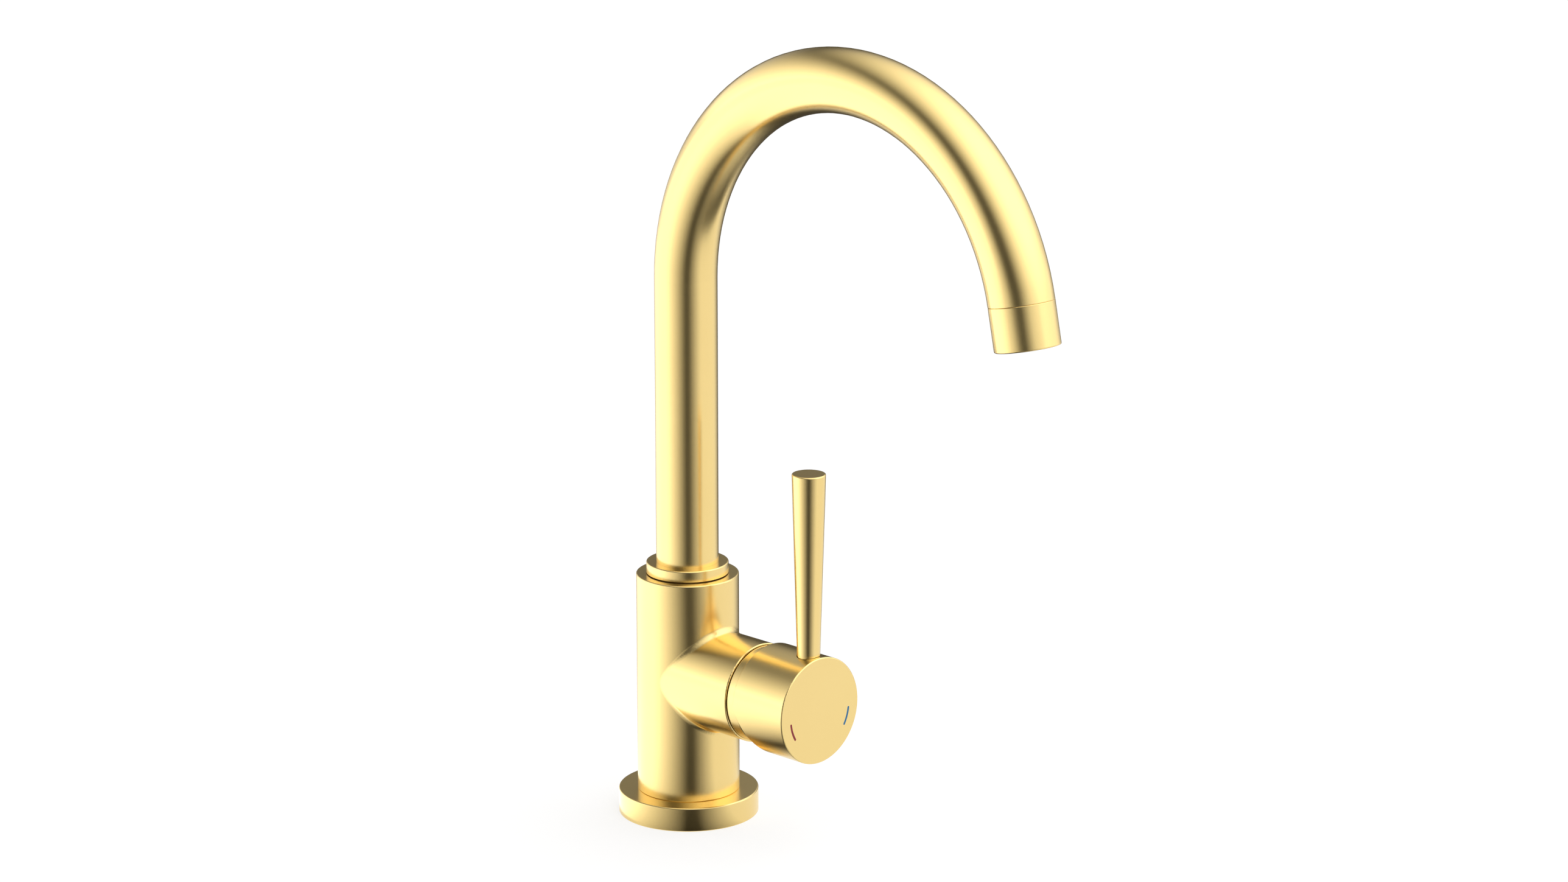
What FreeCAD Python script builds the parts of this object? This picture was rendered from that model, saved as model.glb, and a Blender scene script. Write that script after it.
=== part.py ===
import FreeCAD, Part
import math
import os

from FreeCAD import Placement, Rotation, Vector

# A single-lever basin mixer with a swivelling gooseneck spout.
# The origin is the middle of the foot, +Z is up, and the handle and the spout
# point along -Y. All sizes are millimetres.

# Fits and gaps
FIT = 0.03              # radial gap of pieces that are fixed to each other
RUN = 0.05              # radial gap of a shaft that turns in its bore
PLAY = 0.2              # end play of the turning cartridge pieces
CLEAR = 0.3             # gap between faces that pass each other

# Foot
FLANGE_D = 56.5
FLANGE_H = 9.7
FOOT_SPIGOT_D = 36.0    # end of the body that stands inside the flange
FOOT_EDGE_R = 0.3       # rounding of the body's lower edge, on the flange
GASKET_D = 51.0
GASKET_W = 5.0
GASKET_T = 2.5
EDGE_R = 0.5            # rounding of the visible edges

# Body
BODY_D = 41.2
BODY_H = 90.3           # above the flange
BOSS_STEP = 0.55        # the boss's radius is less than the body's by this
BOSS_REACH = 41.6       # from the body's axis to the face of the boss
BOSS_RISE = 49.1        # boss axis above the flange
BOSS_FILLET = 2.8

# Supply and fixing threads in the foot
INLET_BORE_D = 9.0      # tapping size of M10 x 1
INLET_THREAD_L = 12.0
INLET_CHANNEL_D = 8.0
INLET_X = 10.5
STUD_BORE_D = 6.8       # tapping size of M8
STUD_THREAD_L = 14.0

# Spout
TUBE_D = 25.0
TUBE_WALL = 1.5
RISER_H = 121.0         # from the body's top face to the start of the bend
BEND_R = 89.0
BEND_ANGLE = 168.2
COLLAR_D = 33.0
COLLAR_H = 4.4
SWIVEL_GAP = 0.4        # open joint under the collar
SPIGOT_D = 21.0
SPIGOT_BORE_D = 14.4
SPIGOT_L = 21.5         # below the collar
SPIGOT_FLANGE_D = 27.0
SPIGOT_FLANGE_T = 2.0
SPIGOT_BUSH_L = 10.0    # inside the tube
SPOUT_RING_R = 0.78     # section radius of the spout seals
SPOUT_RING_SPACING = 14.0
GLIDE_RING_T = 1.9
GLIDE_SEAT_DEPTH = 1.6
OUTLET_CHANNEL_D = 11.0
CHANNEL_OVERRUN = 1.0   # of each upright channel past the drilling that meets it
SWIVEL_HALF_ANGLE = 75.0

# Spout lock screw
LOCK_SCREW_D = 5.0
LOCK_TIP_D = 3.4
LOCK_TIP_DEPTH = 1.6    # how far the tip reaches into the spigot
LOCK_SCREW_SINK = 1.25  # outer end of the screw inside the body's back
SOCKET_AF = 2.5         # across flats of the hexagon sockets
SOCKET_DEPTH = 2.5

# Outlet
SLEEVE_L = 16.7
SLEEVE_LIP_D = 19.0
SLEEVE_LIP_T = 1.2
SLEEVE_WALL = 1.4
SEAM_EDGE_R = 0.25      # rounding of the tube's end and the sleeve's top, where they meet
BUSH_WALL = 1.6
BUSH_DEPTH = 6.0        # inside the end of the tube
BUSH_THREAD_L = 5.0
AERATOR_GASKET_T = 1.5
AERATOR_HOLE_D = 1.8
AERATOR_HOLE_PITCH = 2.5
AERATOR_HOLE_ROWS = 3   # rings of holes around the middle hole

# Cartridge
CART_D = 30.0
BASE_T = 5.0
FIXED_DISC_T = 4.0
MOVING_DISC_T = 3.5
CARRIER_T = 5.0
ROTOR_BODY_L = 9.3
ROTOR_NECK_D = 20.0
ROTOR_NECK_L = 4.5
SHELL_WALL = 2.4
SHELL_LIP_T = 2.0
SHELL_NECK_D = 26.8
SHELL_NECK_L = 3.2
NUT_THREAD_L = 5.6
NUT_WALL = 2.0          # nut radius beyond the cartridge radius
NUT_FRONT_L = 2.9       # beyond the face of the boss
NUT_SLOT_W = 3.0
NUT_SLOT_DEPTH = 1.5
PORT_IN_D = 5.6
PORT_IN_X = 6.5
PORT_IN_DROP = 5.0
PORT_OUT_D = 6.4
PORT_OUT_RISE = 7.0
PORT_RING_R = 0.8       # section radius of the port seals
PEG_D = 3.0
PEG_L = 2.5
PEG_X = 9.5
PEG_RISE = 7.5
PIN_D = 3.0
PIVOT_ARM = 8.5         # from the stem's ball to the pivot pin
BALL_D = 6.0
STEM_NECK_D = 4.0
STEM_BLADE_W = 6.0
STEM_SIZE = 7.0         # square
ROTOR_RING_R = 0.7      # section radius of the rotor seal

# Cover ring
RING_D = 38.6
RING_GAP = 0.35         # groove between the boss and the ring
DOME_T = 1.2
DOME_HOLE_D = 26.0

# Handle
HUB_D = 43.0
HUB_L = 26.95
HUB_STANDOFF = 5.5      # from the boss to the back of the hub
HUB_WALL = 2.0
HUB_FACE_T = 3.0
HUB_RELIEF_ANGLE = 22.4
HUB_BACK_EDGE_R = 0.3   # rounding of the hub's back rim
TILT_ANGLE = 22.0
STEM_BOSS_D = 15.0
STEM_SEAT_L = 9.0
LEVER_SETBACK = 6.25    # lever axis behind the hub's face
LEVER_L = 73.5
LEVER_BASE_D = 9.0
LEVER_TOP_D = 13.4
LEVER_SINK = 1.8        # foot of the lever inside the hub
LEVER_BOSS_D = 12.4
LEVER_STUD_D = 6.0
LEVER_STUD_L = 18.0
LEVER_STUD_IN_HUB = 9.0
SET_SCREW_D = 5.0
SET_SCREW_L = 9.0
SET_SCREW_BOSS_D = 9.0
SET_SCREW_SETBACK = 12.0
PLUG_D = 5.8
PLUG_L = 2.5
MARK_R = 16.2
MARK_W = 0.95
MARK_DEPTH = 0.4
MARK_START = 8.0        # degrees below the horizontal
MARK_END = 32.0

# Heights above the deck
BODY_TOP = FLANGE_H + BODY_H
AXIS_Z = FLANGE_H + BOSS_RISE
BEND_Z = BODY_TOP + RISER_H
COLLAR_Z = BODY_TOP + SWIVEL_GAP
TUBE_FOOT_Z = COLLAR_Z + SPIGOT_FLANGE_T
SPIGOT_FOOT_Z = COLLAR_Z - SPIGOT_L
SOCKET_Z = SPIGOT_FOOT_Z - CLEAR
LOCK_Z = (BODY_TOP - GLIDE_SEAT_DEPTH + SPIGOT_FOOT_Z) / 2

# Distances in front of the body's axis, along the handle's axis
SHELL_L = FIXED_DISC_T + MOVING_DISC_T + CARRIER_T + ROTOR_BODY_L + 2 * PLAY + SHELL_LIP_T
SHOULDER = BOSS_REACH - NUT_THREAD_L
SEAT = SHOULDER + SHELL_NECK_L - SHELL_L - BASE_T
FIXED_DISC_AT = SEAT + BASE_T
MOVING_DISC_AT = FIXED_DISC_AT + FIXED_DISC_T
CARRIER_AT = MOVING_DISC_AT + MOVING_DISC_T
ROTOR_AT = CARRIER_AT + CARRIER_T + PLAY
LIP_AT = ROTOR_AT + ROTOR_BODY_L + PLAY
SHELL_FRONT = LIP_AT + SHELL_LIP_T
ROTOR_FRONT = ROTOR_AT + ROTOR_BODY_L + ROTOR_NECK_L
BALL_AT = CARRIER_AT + CARRIER_T / 2 + 1.0
PIVOT_AT = BALL_AT + PIVOT_ARM
RING_AT = BOSS_REACH + RING_GAP
HUB_BACK = BOSS_REACH + HUB_STANDOFF
HUB_FRONT = HUB_BACK + HUB_L
LEVER_AT = HUB_FRONT - LEVER_SETBACK
HUB_INNER_FACE = HUB_FRONT - HUB_FACE_T

# The dome of the cover ring is a ball about the pivot, so the handle tilts clear of it
DOME_R = math.hypot(HUB_BACK - PIVOT_AT, HUB_D / 2 - HUB_WALL) - CLEAR
STEM_BOSS_AT = PIVOT_AT + DOME_R + CLEAR
STEM_END = STEM_BOSS_AT + STEM_SEAT_L
SET_SCREW_AT = HUB_FRONT - SET_SCREW_SETBACK

# Radii that several pieces share
SHELL_INNER_R = CART_D / 2 - SHELL_WALL
NUT_R = CART_D / 2 + NUT_WALL
BOSS_R = BODY_D / 2 - BOSS_STEP
TUBE_INNER_R = TUBE_D / 2 - TUBE_WALL
SOCKET_R = SPIGOT_D / 2 + RUN
LOCK_SCREW_FROM = SOCKET_R + CLEAR
LOCK_SCREW_L = BODY_D / 2 - LOCK_SCREW_SINK - LOCK_SCREW_FROM
SPOUT_GROOVE_R = SPIGOT_D / 2 - 2 * SPOUT_RING_R
DISC_TRAVEL = PIVOT_ARM * math.sin(math.radians(TILT_ANGLE))
DISC_OFFSET = -DISC_TRAVEL / 2
DISC_R = SHELL_INNER_R - CLEAR - DISC_TRAVEL / 2


def turned(profile):
    """Full turn of a closed outline of (radius, height) points about Z."""
    points = [Vector(radius, 0, height) for radius, height in profile]
    face = Part.Face(Part.makePolygon(points + points[:1]))
    return face.revolve(Vector(0, 0, 0), Vector(0, 0, 1), 360)


def tube_piece(outer_r, inner_r, start, end):
    """Plain ring about Z."""
    return turned([(inner_r, start), (outer_r, start), (outer_r, end), (inner_r, end)])


def rod(radius, start, end, x=0.0, y=0.0):
    """Cylinder parallel to Z."""
    return Part.makeCylinder(radius, end - start, Vector(x, y, start))


def upright(radius, low, high, at):
    """Cylinder that stands across the handle's axis, in the handle's own frame."""
    return Part.makeCylinder(radius, high - low, Vector(0, low, at), Vector(0, 1, 0))


def block(half_x, low_y, high_y, start, end):
    """Box that is centred in X, in the handle's own frame."""
    return Part.makeBox(2 * half_x, high_y - low_y, end - start, Vector(-half_x, low_y, start))


def hexagon(across_flats, start, end):
    """Hexagonal prism about Z."""
    corner_r = across_flats / 2 / math.cos(math.radians(30))
    corners = []
    for i in range(6):
        angle = math.radians(60 * i)
        corners.append(Vector(corner_r * math.cos(angle), corner_r * math.sin(angle), start))
    return Part.Face(Part.makePolygon(corners + corners[:1])).extrude(Vector(0, 0, end - start))


def placed(shape, placement):
    """Copy of the shape, moved."""
    moved = shape.copy()
    moved.Placement = placement.multiply(moved.Placement)
    return moved


def forward(shape):
    """From the handle's own frame (Y up, Z to the front) to the object's frame."""
    return placed(shape, Placement(Vector(0, 0, AXIS_Z), Rotation(Vector(1, 0, 0), 90)))


def at_outlet(shape):
    """From a frame with Z along the water jet to the end of the gooseneck."""
    angle = math.radians(BEND_ANGLE)
    end = Vector(0, BEND_R * math.cos(angle) - BEND_R, BEND_Z + BEND_R * math.sin(angle))
    return placed(shape, Placement(end, Rotation(Vector(1, 0, 0), BEND_ANGLE)))


def rounded(shape, radius, on_edge):
    """The shape with every edge rounded whose points all pass the test."""
    edges = []
    for edge in shape.Edges:
        points = edge.discretize(9)
        if all(on_edge(point) for point in points):
            edges.append(edge)
    return shape.makeFillet(radius, edges)


def near(value, wanted):
    return abs(value - wanted) < 0.01


def screw(diameter, length, head_end):
    """Headless screw about Z from 0 to its length, with a socket in one end."""
    bevel = diameter / 10
    radius = diameter / 2
    shank = turned([
        (0, 0), (radius - bevel, 0), (radius, bevel),
        (radius, length - bevel), (radius - bevel, length), (0, length)])
    if head_end:
        return shank.cut(hexagon(SOCKET_AF, length - SOCKET_DEPTH, length))
    return shank


def save(node, shape):
    shape.exportStep(os.path.join("parts", node + ".step"))


os.makedirs("parts", exist_ok=True)


# Foot flange with its gasket groove
flange = turned([
    (FOOT_SPIGOT_D / 2 + FIT, 0), (FLANGE_D / 2, 0),
    (FLANGE_D / 2, FLANGE_H), (FOOT_SPIGOT_D / 2 + FIT, FLANGE_H)])
flange = rounded(
    flange, EDGE_R,
    lambda p: near(math.hypot(p.x, p.y), FLANGE_D / 2) and near(p.z, FLANGE_H))
gasket_outer_r = GASKET_D / 2
gasket_inner_r = GASKET_D / 2 - GASKET_W
flange = flange.cut(tube_piece(gasket_outer_r + FIT, gasket_inner_r - FIT, 0, GASKET_T + FIT))
save("base_flange", flange)

save("base_gasket", tube_piece(gasket_outer_r, gasket_inner_r, 0, GASKET_T))


# Body: a round column with the boss of the cartridge in front
column = turned([
    (0, 0), (FOOT_SPIGOT_D / 2, 0), (FOOT_SPIGOT_D / 2, FLANGE_H),
    (BODY_D / 2, FLANGE_H), (BODY_D / 2, BODY_TOP), (0, BODY_TOP)])
boss = forward(rod(BOSS_R, 0, BOSS_REACH))
body = column.fuse(boss).removeSplitter()


def on_boss_joint(p):
    on_column = near(math.hypot(p.x, p.y), BODY_D / 2)
    return on_column and near(math.hypot(p.x, p.z - AXIS_Z), BOSS_R)


def on_body_rim(p):
    top = near(p.z, BODY_TOP) and near(math.hypot(p.x, p.y), BODY_D / 2)
    front = near(p.y, -BOSS_REACH) and near(math.hypot(p.x, p.z - AXIS_Z), BOSS_R)
    return top or front


body = rounded(body, BOSS_FILLET, on_boss_joint)
body = rounded(body, EDGE_R, on_body_rim)
body = rounded(
    body, FOOT_EDGE_R, lambda p: near(p.z, FLANGE_H) and near(math.hypot(p.x, p.y), BODY_D / 2))

# Socket of the spout, seat of its glide ring and the way of the mixed water
port_out_z = AXIS_Z + PORT_OUT_RISE
glide_ring_r = SPIGOT_FLANGE_D / 2 + CLEAR
body = body.cut(rod(SOCKET_R, SOCKET_Z, BODY_TOP))
body = body.cut(rod(glide_ring_r + FIT, BODY_TOP - GLIDE_SEAT_DEPTH, BODY_TOP))
channel_foot = port_out_z - PORT_OUT_D / 2 - CHANNEL_OVERRUN
body = body.cut(rod(OUTLET_CHANNEL_D / 2, channel_foot, SOCKET_Z))

# Chamber of the cartridge and thread of its nut
chamber = rod(CART_D / 2 + FIT, SEAT, SHOULDER).fuse(rod(NUT_R + FIT, SHOULDER, BOSS_REACH))
chamber = chamber.fuse(rod(PORT_OUT_D / 2, 0, SEAT, 0, PORT_OUT_RISE))
for side in (-1, 1):
    chamber = chamber.fuse(rod(PORT_IN_D / 2, 0, SEAT, side * PORT_IN_X, -PORT_IN_DROP))
    peg_hole = rod(PEG_D / 2 + RUN, SEAT - PEG_L - CLEAR, SEAT, side * PEG_X, PEG_RISE)
    chamber = chamber.fuse(peg_hole)
body = body.cut(forward(chamber))

# Supply channels with their threads, and the thread of the fixing stud
inlet_top = AXIS_Z - PORT_IN_DROP + PORT_IN_D / 2 + CHANNEL_OVERRUN
for side in (-1, 1):
    body = body.cut(rod(INLET_BORE_D / 2, 0, INLET_THREAD_L, side * INLET_X))
    body = body.cut(rod(INLET_CHANNEL_D / 2, INLET_THREAD_L, inlet_top, side * INLET_X))
body = body.cut(rod(STUD_BORE_D / 2, 0, STUD_THREAD_L))

# Thread of the screw that locks the spout, from the back
lock_back = Placement(Vector(0, 0, LOCK_Z), Rotation(Vector(1, 0, 0), -90))
body = body.cut(placed(rod(LOCK_SCREW_D / 2 + FIT, 0, BODY_D / 2), lock_back))
save("valve_body", body)

lock_from = SPIGOT_D / 2 - LOCK_TIP_DEPTH
lock_shank = screw(LOCK_SCREW_D, LOCK_SCREW_L, True)
lock_shank.translate(Vector(0, 0, LOCK_SCREW_FROM))
lock_tip = rod(LOCK_TIP_D / 2, lock_from, LOCK_SCREW_FROM)
save("spout_lock_screw", placed(lock_shank.fuse(lock_tip), lock_back))

glide_foot = BODY_TOP - GLIDE_SEAT_DEPTH
save("spout_glide_ring", tube_piece(
    glide_ring_r, SPIGOT_D / 2 + RUN, glide_foot, glide_foot + GLIDE_RING_T))


# Spigot of the spout, with the grooves of its seals
seal_heights = [LOCK_Z - SPOUT_RING_SPACING / 2, LOCK_Z + SPOUT_RING_SPACING / 2]
spigot = turned([
    (SPIGOT_BORE_D / 2, SPIGOT_FOOT_Z), (SPIGOT_D / 2, SPIGOT_FOOT_Z),
    (SPIGOT_D / 2, COLLAR_Z), (SPIGOT_FLANGE_D / 2, COLLAR_Z),
    (SPIGOT_FLANGE_D / 2, TUBE_FOOT_Z), (TUBE_INNER_R - FIT, TUBE_FOOT_Z),
    (TUBE_INNER_R - FIT, TUBE_FOOT_Z + SPIGOT_BUSH_L),
    (SPIGOT_BORE_D / 2, TUBE_FOOT_Z + SPIGOT_BUSH_L)])
for height in seal_heights:
    half_width = 1.3 * SPOUT_RING_R
    spigot = spigot.cut(tube_piece(SPIGOT_D, SPOUT_GROOVE_R, height - half_width, height + half_width))

# The lock groove ends where the tip of the screw meets it
tip_half_angle = math.degrees(math.asin(LOCK_TIP_D / 2 / lock_from))
groove_half_angle = SWIVEL_HALF_ANGLE + tip_half_angle + 2
groove_half_width = LOCK_TIP_D / 2 + CLEAR
groove_inner_r = lock_from - CLEAR
groove_face = Part.Face(Part.makePolygon([
    Vector(groove_inner_r, 0, LOCK_Z - groove_half_width),
    Vector(SPIGOT_D, 0, LOCK_Z - groove_half_width),
    Vector(SPIGOT_D, 0, LOCK_Z + groove_half_width),
    Vector(groove_inner_r, 0, LOCK_Z + groove_half_width),
    Vector(groove_inner_r, 0, LOCK_Z - groove_half_width)]))
groove = groove_face.revolve(Vector(0, 0, 0), Vector(0, 0, 1), 2 * groove_half_angle)
groove.rotate(Vector(0, 0, 0), Vector(0, 0, 1), 90 - groove_half_angle)
spigot = spigot.cut(groove)
save("spout_spigot", spigot)

seal_centre_r = SPOUT_GROOVE_R + SPOUT_RING_R
seals = []
for height in seal_heights:
    seals.append(Part.makeTorus(seal_centre_r, SPOUT_RING_R, Vector(0, 0, height)))
save("spout_o_rings", Part.makeCompound(seals))

collar_top = COLLAR_Z + COLLAR_H
collar = turned([
    (SPIGOT_FLANGE_D / 2 + FIT, COLLAR_Z), (COLLAR_D / 2, COLLAR_Z),
    (COLLAR_D / 2, collar_top), (TUBE_D / 2 + FIT, collar_top),
    (TUBE_D / 2 + FIT, TUBE_FOOT_Z + FIT), (SPIGOT_FLANGE_D / 2 + FIT, TUBE_FOOT_Z + FIT)])
collar = rounded(
    collar, EDGE_R,
    lambda p: near(math.hypot(p.x, p.y), COLLAR_D / 2) and near(p.z, collar_top))
save("spout_collar", collar)


# Gooseneck: a straight riser and a bend in the same tube section
def tube_section(outer_r, inner_r, height):
    up = Vector(0, 0, 1)
    outer = Part.Wire(Part.makeCircle(outer_r, Vector(0, 0, height), up))
    inner = Part.Wire(Part.makeCircle(inner_r, Vector(0, 0, height), up))
    return Part.Face(outer).cut(Part.Face(inner)).Faces[0]


bend_centre = Vector(0, -BEND_R, BEND_Z)
bend_axis = Vector(1, 0, 0)
riser = tube_section(TUBE_D / 2, TUBE_INNER_R, TUBE_FOOT_Z).extrude(
    Vector(0, 0, BEND_Z - TUBE_FOOT_Z))
bend = tube_section(TUBE_D / 2, TUBE_INNER_R, BEND_Z).revolve(bend_centre, bend_axis, BEND_ANGLE)
outlet_centre = at_outlet(Part.Vertex(0, 0, 0)).Point
tube = rounded(
    riser.fuse(bend), SEAM_EDGE_R, lambda p: near(p.distanceToPoint(outlet_centre), TUBE_D / 2))
save("spout_tube", tube)

# Nipple in the end of the tube: its first part follows the bend
bush_angle = math.degrees(BUSH_DEPTH / BEND_R)
bush_outer_r = TUBE_INNER_R - FIT
bush_inner_r = bush_outer_r - BUSH_WALL
bush = tube_section(bush_outer_r, bush_inner_r, BEND_Z).revolve(bend_centre, bend_axis, bush_angle)
bush.rotate(bend_centre, bend_axis, BEND_ANGLE - bush_angle)
bush_thread = at_outlet(tube_piece(bush_outer_r, bush_inner_r, 0, BUSH_THREAD_L))
save("outlet_bush", bush.fuse(bush_thread))

# Sleeve that screws on the nipple, with the flow insert on its lip
sleeve_r = TUBE_D / 2
sleeve_bore_r = sleeve_r - SLEEVE_WALL
lip_at = SLEEVE_L - SLEEVE_LIP_T
sleeve = turned([
    (sleeve_bore_r, 0), (sleeve_r, 0), (sleeve_r, SLEEVE_L), (SLEEVE_LIP_D / 2, SLEEVE_L),
    (SLEEVE_LIP_D / 2, lip_at), (sleeve_bore_r, lip_at)])
sleeve = rounded(
    sleeve, EDGE_R, lambda p: near(p.z, SLEEVE_L) and near(math.hypot(p.x, p.y), sleeve_r))
sleeve = rounded(
    sleeve, SEAM_EDGE_R, lambda p: near(p.z, 0) and near(math.hypot(p.x, p.y), sleeve_r))
save("aerator_sleeve", at_outlet(sleeve))

insert_at = BUSH_THREAD_L + AERATOR_GASKET_T
save("aerator_gasket", at_outlet(tube_piece(
    sleeve_bore_r - FIT, bush_inner_r, BUSH_THREAD_L, insert_at)))

insert = rod(sleeve_bore_r - FIT, insert_at, lip_at)
insert = insert.cut(rod(AERATOR_HOLE_D / 2, insert_at, lip_at))
for row in range(1, AERATOR_HOLE_ROWS + 1):
    for step in range(6 * row):
        angle = math.radians(360.0 * step / (6 * row))
        hole_x = row * AERATOR_HOLE_PITCH * math.cos(angle)
        hole_y = row * AERATOR_HOLE_PITCH * math.sin(angle)
        insert = insert.cut(rod(AERATOR_HOLE_D / 2, insert_at, lip_at, hole_x, hole_y))
save("aerator_insert", at_outlet(insert))


# Cartridge, from its seat in the body to the front
PORTS = [
    (PORT_IN_D, -PORT_IN_X, -PORT_IN_DROP),
    (PORT_IN_D, PORT_IN_X, -PORT_IN_DROP),
    (PORT_OUT_D, 0.0, PORT_OUT_RISE)]

base = rod(CART_D / 2, SEAT, SEAT + BASE_T)
port_seals = []
for port_d, port_x, port_y in PORTS:
    ring_r = port_d / 2 + 1.5 * PORT_RING_R
    groove_depth = 2 * PORT_RING_R
    ring_groove = tube_piece(ring_r + 1.2 * PORT_RING_R, ring_r - 1.2 * PORT_RING_R, 0, groove_depth)
    ring_groove.translate(Vector(port_x, port_y, SEAT))
    base = base.cut(ring_groove)
    base = base.cut(rod(port_d / 2, SEAT, SEAT + BASE_T, port_x, port_y))
    centre = Vector(port_x, port_y, SEAT + PORT_RING_R)
    port_seals.append(Part.makeTorus(ring_r, PORT_RING_R, centre))
for side in (-1, 1):
    base = base.fuse(rod(PEG_D / 2, SEAT - PEG_L, SEAT, side * PEG_X, PEG_RISE))
save("cartridge_base", forward(base))
save("port_seals", forward(Part.makeCompound(port_seals)))

fixed_disc = rod(SHELL_INNER_R - FIT, FIXED_DISC_AT, MOVING_DISC_AT)
for port_d, port_x, port_y in PORTS:
    fixed_disc = fixed_disc.cut(rod(port_d / 2, FIXED_DISC_AT, MOVING_DISC_AT, port_x, port_y))
save("fixed_disc", forward(fixed_disc))

# The moving disc has a blind pocket that joins the ports behind it
moving_disc = rod(DISC_R, MOVING_DISC_AT, CARRIER_AT, 0, DISC_OFFSET)
pocket_end = MOVING_DISC_AT + MOVING_DISC_T / 2
moving_disc = moving_disc.cut(rod(DISC_R / 2, MOVING_DISC_AT, pocket_end, 0, DISC_OFFSET + DISC_R / 4))
save("moving_disc", forward(moving_disc))

# The carrier slides between the two rails of the rotor
rail_half_gap = 0.78 * DISC_R
carrier = rod(DISC_R, CARRIER_AT, CARRIER_AT + CARRIER_T, 0, DISC_OFFSET)
carrier_cheeks = block(rail_half_gap - CLEAR, -CART_D, CART_D, CARRIER_AT, CARRIER_AT + CARRIER_T)
carrier = carrier.common(carrier_cheeks)
ball_pocket_r = BALL_D / 2 + PLAY
carrier = carrier.cut(rod(ball_pocket_r, BALL_AT - ball_pocket_r, CARRIER_AT + CARRIER_T))
save("disc_carrier", forward(carrier))

# Rotor: turns in the shell and carries the pivot pin of the stem
rotor_r = SHELL_INNER_R - RUN
rotor = turned([
    (0, ROTOR_AT), (rotor_r, ROTOR_AT), (rotor_r, ROTOR_AT + ROTOR_BODY_L),
    (ROTOR_NECK_D / 2, ROTOR_AT + ROTOR_BODY_L), (ROTOR_NECK_D / 2, ROTOR_FRONT), (0, ROTOR_FRONT)])
rail_start = CARRIER_AT + CLEAR
rails = rod(rotor_r, rail_start, ROTOR_AT)
rails = rails.cut(block(rail_half_gap, -CART_D, CART_D, rail_start, ROTOR_AT))
rotor = rotor.fuse(rails)

tilt = math.radians(TILT_ANGLE)
slot_reach = max(ROTOR_FRONT - PIVOT_AT, PIVOT_AT - ROTOR_AT)
slot_half_height = slot_reach * math.tan(tilt) + STEM_SIZE / 2 / math.cos(tilt) + CLEAR
stem_slot = block(
    STEM_BLADE_W / 2 + CLEAR, -slot_half_height, slot_half_height, ROTOR_AT, ROTOR_FRONT)
rotor = rotor.cut(stem_slot)
pin_half_length = rotor_r - 0.5
pin_side = Rotation(Vector(0, 1, 0), 90)
pin_hole = placed(
    rod(PIN_D / 2 + FIT, -rotor_r, rotor_r), Placement(Vector(0, 0, PIVOT_AT), pin_side))
rotor = rotor.cut(pin_hole)
ring_groove_r = ROTOR_NECK_D / 2 - 2 * ROTOR_RING_R
ring_at = LIP_AT + SHELL_LIP_T / 2
rotor = rotor.cut(tube_piece(
    ROTOR_NECK_D, ring_groove_r, ring_at - 1.2 * ROTOR_RING_R, ring_at + 1.2 * ROTOR_RING_R))
save("cartridge_rotor", forward(rotor))

rotor_ring = Part.makeTorus(ring_groove_r + ROTOR_RING_R, ROTOR_RING_R, Vector(0, 0, ring_at))
save("rotor_o_ring", forward(rotor_ring))

pin = placed(
    rod(PIN_D / 2, -pin_half_length, pin_half_length),
    Placement(Vector(0, 0, PIVOT_AT), pin_side))
save("pivot_pin", forward(pin))

# Shell that holds the discs and the rotor
shell = turned([
    (SHELL_INNER_R, FIXED_DISC_AT), (CART_D / 2, FIXED_DISC_AT), (CART_D / 2, SHOULDER),
    (SHELL_NECK_D / 2, SHOULDER), (SHELL_NECK_D / 2, SHELL_FRONT),
    (ROTOR_NECK_D / 2 + RUN, SHELL_FRONT), (ROTOR_NECK_D / 2 + RUN, LIP_AT),
    (SHELL_INNER_R, LIP_AT)])
save("cartridge_shell", forward(shell))

# Stem: a ball in the carrier, a blade on the pivot pin and a square in the handle
blade_start = BALL_AT + BALL_D / 2
blade_reach = ROTOR_FRONT - PIVOT_AT + CLEAR + STEM_SIZE / 2 * math.sin(tilt)
blade_end = PIVOT_AT + blade_reach / math.cos(tilt)
stem = Part.makeSphere(BALL_D / 2, Vector(0, 0, BALL_AT))
stem = stem.fuse(rod(STEM_NECK_D / 2, BALL_AT, blade_start + 1.0))
stem = stem.fuse(block(STEM_BLADE_W / 2, -STEM_SIZE / 2, STEM_SIZE / 2, blade_start, blade_end))
stem = stem.fuse(block(STEM_SIZE / 2, -STEM_SIZE / 2, STEM_SIZE / 2, blade_end, STEM_END))
stem = stem.cut(placed(
    rod(PIN_D / 2 + RUN, -STEM_SIZE, STEM_SIZE), Placement(Vector(0, 0, PIVOT_AT), pin_side)))
save("cartridge_stem", forward(stem))

# Nut that holds the cartridge, with slots for its wrench
nut_front = BOSS_REACH + NUT_FRONT_L
nut_bore_r = SHELL_NECK_D / 2 + PLAY
nut = tube_piece(NUT_R, nut_bore_r, SHOULDER, nut_front)
for turn in (0, 90):
    slot = block(NUT_SLOT_W / 2, -CART_D, CART_D, nut_front - NUT_SLOT_DEPTH, nut_front)
    slot.rotate(Vector(0, 0, 0), Vector(0, 0, 1), turn)
    nut = nut.cut(slot)
save("cartridge_nut", forward(nut))


# Cover ring on the nut: a short cylinder that runs into a dome about the pivot
def dome_point(dome_r, ring_r):
    return Vector(ring_r, 0, PIVOT_AT + math.sqrt(dome_r * dome_r - ring_r * ring_r))


def dome_arc(dome_r, start, end):
    middle_angle = (math.atan2(start.z - PIVOT_AT, start.x) + math.atan2(end.z - PIVOT_AT, end.x)) / 2
    middle = Vector(
        dome_r * math.cos(middle_angle), 0, PIVOT_AT + dome_r * math.sin(middle_angle))
    return Part.Arc(start, middle, end).toShape()


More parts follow.
